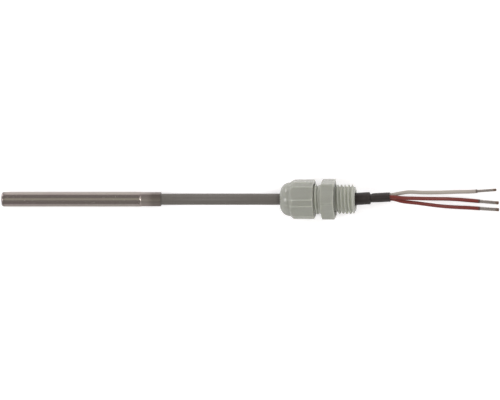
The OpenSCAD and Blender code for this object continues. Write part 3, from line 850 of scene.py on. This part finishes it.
def make_stem():
    """Drawn tube, rounded at its closed tip and crimped in six flats at the rear."""
    bore_r = stem_r - stem_wall
    tip_disc_r = 0.4
    rear = stem_length
    ramp_end = rear - crimp_length
    ramp_start = ramp_end - crimp_ramp
    first_flat = 30.0 + crimp_turn
    outline = [(0, tip_disc_r), (0, stem_r - tip_radius)]
    outline += arc(tip_radius, stem_r - tip_radius, tip_radius, 180, 90, 16)[1:]
    outline += straight(3, ramp_start - 0.6, stem_r, 12)
    outline += straight(ramp_start - 0.3, ramp_end + 0.3, stem_r, 25)
    outline += straight(ramp_end + 0.9, rear - 0.4, stem_r, 9)
    outline += [(rear - 0.1, stem_r), (rear - 0.03, stem_r - 0.03), (rear, stem_r - 0.1),
                (rear, bore_r + 0.08), (rear - 0.08, bore_r)]
    outline += straight(ramp_end + 0.3, ramp_start - 0.3, bore_r, 13)
    outline += [(tip_wall + 0.3, bore_r), (tip_wall, bore_r - 0.3),
                (tip_wall, tip_disc_r)]
    # degrees from the middle of each flat, finest round the edge at 30
    steps = [*range(0, 18, 3), 18, 20, *range(22, 39), 40, 42, *range(45, 60, 3)]
    stem = turned_shell("crimped_stem", outline, sixths(steps, first_flat), steel, {
        "inset": lambda x, r: stem_wall * MM if r < bore_r + 0.05 else 0.0},
        0.0, stem_r, looped=False)
    return shaped_by(stem, [(crimp_tree(steel), {
        "Flat Distance": (cable_r + stem_wall) * MM, "Round Radius": stem_r * MM,
        "Start": laid((ramp_end, 0, 0)).x, "Ramp": crimp_ramp * MM,
        "Softness": 0.0001, "Turn": first_flat, "Axis Height": stem_r * MM})])


def make_cap_nut():
    """Cap nut: dome, rounded shoulder and ribbed grip over a hollow for the claw."""
    dome_radius, dome_r, shoulder_x, rib_r = 4.0, 13.7 / 2, 4.05, cap_rib_d / 2
    mouth_r, lip_r, claw_r = 3.2, 3.35, 4.05
    front_wall, hollow_x, thread_x = 1.4, 4.5, 5.3
    bore_r = 12.4 / 2 + 0.1
    hollow_r = clamp_root_r + 0.2
    rear_x = cap_length - 0.2
    rear_bevel, bore_bevel = 0.15, 0.2
    lip_angle = math.degrees(math.asin((lip_r - dome_r + dome_radius) / dome_radius))
    outline = [(0.02, mouth_r)]
    outline += arc(dome_radius, dome_r - dome_radius, dome_radius, 180 - lip_angle, 90,
                   22)
    outline += [(shoulder_x + x, dome_r + rise) for x, rise in (
        (0, 0), (0.9, 0.8), (1.3, 1.08), (1.8, 1.22))]
    outline += [(shoulder_x + 2.2, rib_r), (rear_x - rear_bevel, rib_r),
                (rear_x, rib_r - rear_bevel), (rear_x, bore_r + bore_bevel),
                (rear_x - bore_bevel, bore_r), (thread_x, bore_r), (thread_x, hollow_r),
                (hollow_x, hollow_r), (front_wall, claw_r), (front_wall, mouth_r)]
    stations = with_stations(filleted(outline, 0.12), 3.0, cap_length, 0.35)
    # degrees from the middle of each flat, fine over its ribs and coarse between them
    fine = [0.5 * i for i in range(19)]
    steps = [0, 5, 10, 14, *(16 + step for step in fine), 27, 30, 33,
             *(35 + step for step in fine), 46, 50, 55]
    nut = turned_shell("ribbed_cap_nut", stations, sixths(steps, cap_turn), polyamide, {
        "grip": lambda x, r: ramp(x, 2.0, 2.2, 20, 21) if r > bore_r + 0.3 else 0.0},
        gland_x, gland_z)
    flat_edge = math.degrees(math.acos(cap_flats / cap_corner_d))
    return shaped_by(nut, [(grip_tree(polyamide), {
        "Across Flats": cap_flats * MM, "Corner Diameter": cap_corner_d * MM,
        "Rib Diameter": cap_rib_d * MM, "Rib Width": cap_rib_width * MM,
        "Rib Angle": flat_edge + 1.3, "Turn": cap_turn, "Softness": 0.00004,
        "Worn Edge": 0.00002, "Axis Height": gland_z * MM})])


def make_gland_body():
    """Gland body: two screw threads on a hexagon with rounded corners, bored through."""
    hex_r = hex_corner_d / 2
    front_chamfer, rear_chamfer = 0.6, 0.35
    hex_front = hex_start + 0.3
    neck_start = hex_start - 1.0
    bore_r, socket_r, neck_r, relief_r = 3.3, 4.4, 5.85, 6.12
    undercut_r, relief_depth = entry_root_r - 0.1, 0.3
    socket_end = hex_start + 0.1
    outline = [
        (clamp_start, socket_r), (clamp_start, clamp_root_r - 0.25),
        (clamp_start + 0.25, clamp_root_r), (neck_start, clamp_root_r),
        (neck_start, neck_r), (hex_front, neck_r),
        (hex_front, hex_r - front_chamfer), (hex_front + 0.4 * front_chamfer, hex_r),
        (hex_end - 0.5 * rear_chamfer, hex_r), (hex_end, hex_r - rear_chamfer),
        (hex_end, relief_r), (hex_end - relief_depth, relief_r),
        (hex_end - relief_depth, undercut_r), (hex_end + 0.6, undercut_r),
        (hex_end + 0.7, entry_root_r), (entry_end - 0.4, entry_root_r),
        (entry_end, entry_root_r - 0.35), (entry_end, bore_r + 0.3),
        (entry_end - 0.3, bore_r), (socket_end, bore_r), (socket_end, socket_r)]
    stations = filleted(outline, 0.1)
    stations = with_stations(stations, clamp_start, neck_start + 0.05, 0.06)
    stations = with_stations(stations, hex_start + 0.7, hex_end - 0.7, 0.5)
    stations = with_stations(stations, hex_end + 0.6, entry_end, 0.05)

    def thread_weight(x, r):
        if r < socket_r + 0.01:
            return 0.0
        on_clamp = ramp(x, clamp_start + 0.3, clamp_start + 0.8, neck_start - 0.1,
                        neck_start)
        on_entry = ramp(x, hex_end + 0.65, hex_end + 1.0, entry_end - 0.75,
                        entry_end - 0.3)
        return on_clamp + on_entry

    def neck_weight(x, r):
        """1 in the gap between nut and hexagon, on the outer side only."""
        if r < socket_r + 0.1:
            return 0.0
        # the material paints this gap paler, as painted light
        return ramp(x, cap_length - 0.4, cap_length + 0.2, hex_start, hex_front)

    # degrees from the middle of each flat, finest round the corner at 30
    steps = [0, 6, 12, 18, 23, 25.5, 26.5, 27, 27.5, 28, 29, 30, 31, 32, 32.5, 33, 33.5,
             34.5, 37, 42, 48, 54]
    body = turned_shell("threaded_gland_body", stations, sixths(steps, gland_roll),
                        polyamide, {
        "thread": thread_weight, "neck": neck_weight,
        "grip": lambda x, r: 1.0 if r > relief_r + 0.2 else 0.0}, gland_x, gland_z)
    axis = {"Axis Height": gland_z * MM}
    # ribs so small that they stay inside the hexagon
    no_ribs = {"Rib Diameter": 0.001, "Rib Width": 0.0002, "Rib Angle": 0.0}
    return shaped_by(body, [
        (grip_tree(polyamide), {
            "Across Flats": hex_flats * MM, "Corner Diameter": hex_corner_d * MM,
            "Turn": gland_roll, "Softness": 0.00006, "Worn Edge": 0.00012, **no_ribs,
            **axis}),
        (thread_tree(polyamide), {
            "Pitch": pitch * MM, "Depth": thread_depth * MM,
            "Crest Width": pitch / 8 * MM,
            "Flank Width": thread_depth * math.tan(math.radians(30)) * MM,
            "First Crest": laid((gland_x + hex_end + 1.1, 0, 0)).x, **axis})])


# ---------------------------------------- shrunk sleeve
def hull_radius(angle):
    """Radius of the skin stretched round three leads, at an angle about their middle."""
    off = math.radians(min(abs((angle - lead + 180) % 360 - 180)
                           for lead in lead_angles.values()))
    skin_r = lead_r + 0.22
    sixth = math.radians(60)
    arc_end = math.atan2(skin_r * math.sin(sixth), lead_ring_r + skin_r * math.cos(sixth))
    if off < arc_end:
        across = lead_ring_r * math.sin(off)
        return lead_ring_r * math.cos(off) + math.sqrt(skin_r ** 2 - across ** 2)
    return (lead_ring_r * 0.5 + skin_r) / math.cos(sixth - off)


def make_sleeve():
    """Shrunk sleeve: round on the jacket, drawn in over a step to hug three leads."""
    wall, neck_r, mouth_bevel = 0.2, 2.1, 0.05
    hug = 0.45
    end = neck_start_x + neck_length
    angles = [4.5 * k for k in range(80)]
    # x along the sleeve, share of the way from the jacket's round to the leads' hull
    outer = [(x, 0) for x in (-1.0, 0.0, 1.8, 3.4, 4.8, 5.8, 6.8)]
    outer += [(jacket_reach, -0.02)]
    outer += [(sleeve_step_x + x, share) for x, share in (
        (0, 0), (0.12, 0.14), (0.2, 0.5), (0.26, 0.95), (0.34, 1.28), (0.5, 1.38),
        (0.75, 1.27), (1.2, 1.07))]
    outer += [(x, 1) for x in (9.2, 9.9, 10.8, 12.0, 13.2, 14.2, 14.9, 15.3, end - 0.12,
                               end)]
    ripple = np.random.default_rng(7).uniform(-1, 1, (6, 3)).tolist()

    def crease(x, a):
        """A dent or swell left by shrinking, deeper round the step."""
        near_step = math.exp(-((x - sleeve_step_x - 0.8) / 1.6) ** 2)
        total = sum(w * math.sin(k * math.radians(a) + 2.3 * p * x + 5 * q)
                    for k, (w, p, q) in enumerate(ripple, start=1))
        rise = total * (0.012 + 0.03 * near_step) * min(1.0, max(0.0, x / 2))
        return min(0.0, rise) if x < jacket_reach else rise

    layers = [(x, share, 0.0) for x, share in outer]
    layers[-1] = (end, 1, mouth_bevel)
    layers += [(x, share, wall) for x, share in reversed(outer)]
    points = []
    for x, share, inset in layers:
        for a in angles:
            hugging_r = hug * hull_radius(a) + (1 - hug) * neck_r
            r = (cable_r + wall) * (1 - share) + hugging_r * share - inset + crease(x, a)
            points.append(laid(sleeve_point + x * along_sleeve
                               + r * math.cos(math.radians(a)) * across_sleeve
                               + r * math.sin(math.radians(a)) * up))
    return piece("shrunk_sleeve_skin", points,
                 ring_faces(len(layers), len(angles), True), sleeve_plastic)


def faces_outwards(made):
    """Turns the faces round if they enclose a negative volume."""
    mesh = made.data
    corners = np.empty(len(mesh.vertices) * 3)
    mesh.vertices.foreach_get("co", corners)
    corners = corners.reshape(-1, 3)
    mesh.calc_loop_triangles()
    index = np.empty(len(mesh.loop_triangles) * 3, dtype=np.int32)
    mesh.loop_triangles.foreach_get("vertices", index)
    a, b, c = (corners[index.reshape(-1, 3)[:, k]] for k in range(3))
    if np.einsum("ij,ij->i", a, np.cross(b, c)).sum() < 0:
        mesh.flip_normals()


for made, body, node_name, slot_name in (
        (make_stem(), "probe", "stem_tube", "stem"),
        (make_cap_nut(), "cap", "cap_nut", "gland"),
        (make_gland_body(), "probe", "gland_body", "gland"),
        (make_sleeve(), "probe", "shrunk_sleeve", "sleeve")):
    faces_outwards(made)
    shaded(made.data)
    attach(made, body)
    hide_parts(node_name)

# ---------------------------------------- CAD nodes that stay
cad_looks = {
    "tip_filling": ceramic, "sensor_chip": ceramic,
    "sensor_wire_1": tin, "sensor_wire_2": tin, "white_splice": copper,
    "red_splice": copper, "white_splice_sleeve": resin, "red_splice_sleeve": resin,
    "white_strand_end": copper, "red_strand_end_1": copper, "red_strand_end_2": copper,
    "rear_filling": resin, "clamping_claw": claw_polyamide, "cable_seal": rubber,
}
for name, material in cad_looks.items():
    repaint(name, material)


# ---------------------------------------- floor and light
def make_floor():
    """A matt white table. It glows to the camera, and its far side in reflections."""
    side = 30.0
    corners = [(-side, -side, 0), (side, -side, 0), (side, side, 0), (-side, side, 0)]
    material = bpy.data.materials.new("white_table")
    material.use_nodes = True
    tree = material.node_tree
    shader = tree.nodes["Principled BSDF"]
    feed(shader, Base_Color=(0.8, 0.8, 0.8, 1), Roughness=0.9, Specular_IOR_Level=0.0)
    path = node(tree, "ShaderNodeLightPath")
    seen, glossy, through = (Number(tree, path.outputs[label]) for label in (
        "Is Camera Ray", "Is Glossy Ray", "Is Transmission Ray"))
    place = node(tree, "ShaderNodeNewGeometry").outputs["Position"]
    far_side = between(part_of(tree, place, "Y"), -4 * MM, 2 * MM, 0.0, 0.33)
    glow = node(tree, "ShaderNodeEmission", {
        "Strength": seen * 0.42 + (glossy + through) * far_side})
    add_glow(tree, shader, glow, "Material Output")
    piece("table_top", corners, [(0, 1, 2, 3)], material)


def make_world():
    """A studio: pale low down, dimmer overhead, with a bright far wall and ends."""
    world = bpy.data.worlds.new("studio")
    scene.world = world
    world.use_nodes = True
    tree = world.node_tree
    direction = node(tree, "ShaderNodeTexCoord").outputs["Generated"]
    x, y, z = (part_of(tree, direction, axis) for axis in "XYZ")
    shades = node(tree, "ShaderNodeValToRGB", {"Fac": z})
    stops = shades.color_ramp
    stops.elements[0].position, stops.elements[0].color = 0.0, (1, 1, 1, 1)
    stops.elements[1].position, stops.elements[1].color = 1.0, (0.80, 0.82, 0.71, 1)
    for height, value, warmth in ((0.06, 0.75, 0.98), (0.25, 0.40, 0.95),
                                  (0.92, 0.36, 0.95)):
        stops.elements.new(height).color = (value, value * warmth, value * warmth, 1)
    near_side = between(y, -0.95, -0.7, 0.88, 1.0)
    far_wall = between(y, 0.95, 0.995, 0.0, 0.9)
    ends = between(abs(x), 0.25, 0.45, 0.0, 0.3)
    right_end = between(x, 0.6, 0.9, 0.0, 0.65)
    background = tree.nodes["Background"]
    give(tree, background.inputs["Color"], shades.outputs[0])
    give(tree, background.inputs["Strength"], near_side)
    glow = node(tree, "ShaderNodeBackground", {
        "Color": (1.0, 0.98, 1.0, 1), "Strength": far_wall + (ends + right_end)})
    add_glow(tree, background, glow, "World Output")


def make_lamp(name, place, width, depth, power, colour=(1, 1, 1)):
    """A softbox at a place in metres from the view's middle, turned towards it."""
    data = bpy.data.lights.new(name, "AREA")
    data.shape = "RECTANGLE"
    data.size, data.size_y = width, depth
    data.energy = power
    data.color = colour
    lamp = bpy.data.objects.new(name, data)
    out = Vector(place)
    middle = laid((101.97, 0, 0))
    lamp.location = middle + out
    lamp.rotation_euler = out.to_track_quat("Z", "Y").to_euler()
    scene.collection.objects.link(lamp)


make_floor()
make_world()
window = (1.0, 0.95, 1.0)
make_lamp("left_softbox", (-0.76, -0.1, 0.79), 0.18, 0.27, 3.4)
make_lamp("right_softbox", (0.64, 0.17, 0.88), 0.24, 0.11, 1.8)
make_lamp("rear_left_window", (-0.62, 0.85, 0.28), 0.3, 0.2, 1.8, window)
make_lamp("rear_right_window", (0.62, 0.85, 0.28), 0.3, 0.2, 1.8, window)
make_lamp("front_softbox", (0.5, -0.85, 0.5), 0.3, 0.2, 1.2)

scene.view_settings.view_transform = "Standard"
